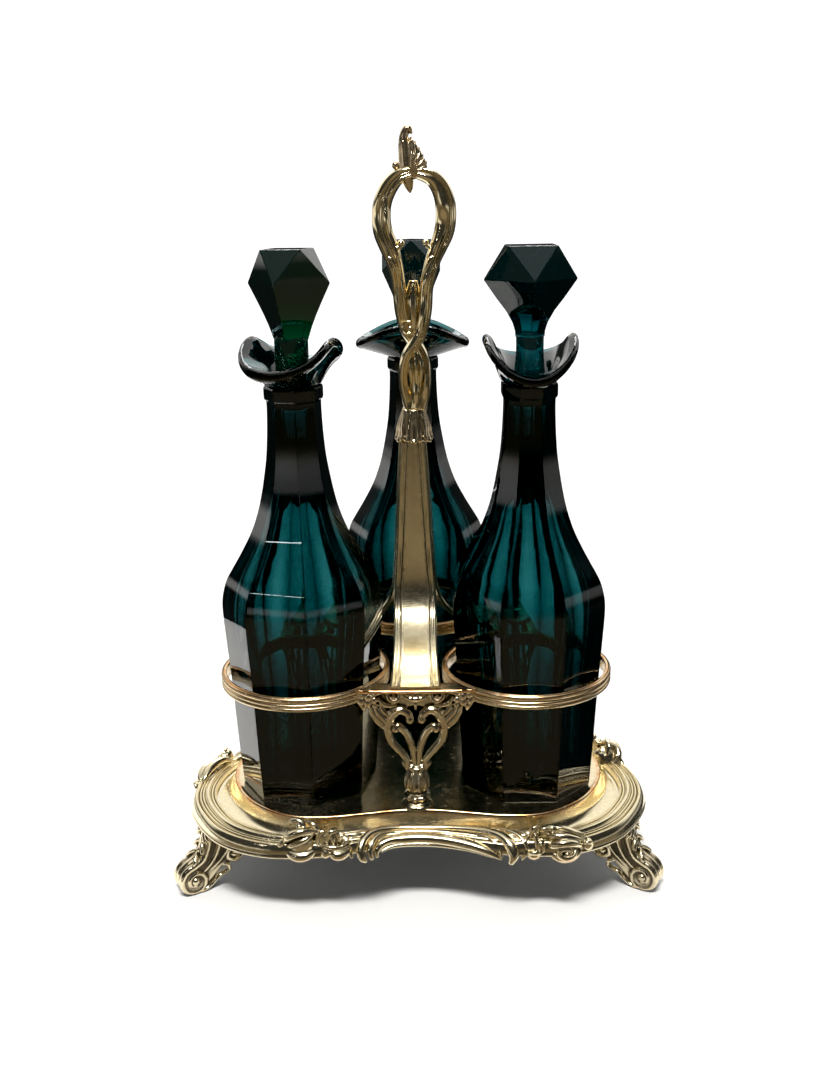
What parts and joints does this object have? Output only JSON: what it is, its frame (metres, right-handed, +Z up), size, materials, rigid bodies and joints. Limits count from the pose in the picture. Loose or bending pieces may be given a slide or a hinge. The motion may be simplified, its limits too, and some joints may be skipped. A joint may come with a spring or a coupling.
{
  "type": "three bottle tantalus",
  "caption": "Silver-plated decanter stand with a vine handle, reeded rings and scroll feet, holding octagonal glass decanters with stoppers.",
  "frame": {"origin": "on the surface that the stand stands on, on the axis of the central column", "axes": "+Z up along the column; -Y is the front, the side with a bracket between two decanters"},
  "size_m": [0.283, 0.268, 0.4205],
  "materials": {
    "silver_plate": "polished silver plate with dark tarnish in the recesses",
    "worn_plate_on_copper": "silver plate worn through to copper on the edges",
    "steel_fastener": "dull steel",
    "teal_glass": "thick polished cut glass, very dark blue-green",
    "green_glass": "thick polished cut glass, dark green"
  },
  "bodies": {
    "stand": {"base_tray": "silver_plate", "rim_border": "silver_plate", "shell_mounts": "silver_plate", "flower_mounts": "silver_plate", "foot_left": "silver_plate", "foot_right": "silver_plate", "foot_back": "silver_plate", "bracket_front": "silver_plate", "bracket_right": "silver_plate", "bracket_left": "silver_plate", "bracket_cap_front": "worn_plate_on_copper", "bracket_cap_right": "worn_plate_on_copper", "bracket_cap_left": "worn_plate_on_copper", "bracket_screws": "steel_fastener", "bracket_washers": "steel_fastener", "ring_left": "worn_plate_on_copper", "ring_right": "worn_plate_on_copper", "ring_back": "worn_plate_on_copper", "arm_front": "silver_plate", "arm_right": "silver_plate", "arm_left": "silver_plate", "column_plug": "worn_plate_on_copper", "handle_stud": "steel_fastener", "handle_calyx": "silver_plate", "handle_vine": "silver_plate", "handle_bud": "silver_plate", "handle_finial": "silver_plate"},
    "left_decanter": {"decanter_left": "teal_glass"},
    "right_decanter": {"decanter_right": "teal_glass"},
    "back_decanter": {"decanter_back": "teal_glass"},
    "left_stopper": {"stopper_left": "green_glass"},
    "right_stopper": {"stopper_right": "teal_glass"},
    "back_stopper": {"stopper_back": "teal_glass"}
  },
  "joints": [
    {"name": "left_decanter_lift", "type": "slide", "parent": "stand", "child": "left_decanter", "axis": [0, 0, 1], "range_m": [0, 0.09]},
    {"name": "left_stopper_lift", "type": "slide", "parent": "left_decanter", "child": "left_stopper", "axis": [0, 0, 1], "range_m": [0, 0.045]},
    {"name": "right_decanter_lift", "type": "slide", "parent": "stand", "child": "right_decanter", "axis": [0, 0, 1], "range_m": [0, 0.09]},
    {"name": "right_stopper_lift", "type": "slide", "parent": "right_decanter", "child": "right_stopper", "axis": [0, 0, 1], "range_m": [0, 0.045]},
    {"name": "back_decanter_lift", "type": "slide", "parent": "stand", "child": "back_decanter", "axis": [0, 0, 1], "range_m": [0, 0.09]},
    {"name": "back_stopper_lift", "type": "slide", "parent": "back_decanter", "child": "back_stopper", "axis": [0, 0, 1], "range_m": [0, 0.045]}
  ]
}
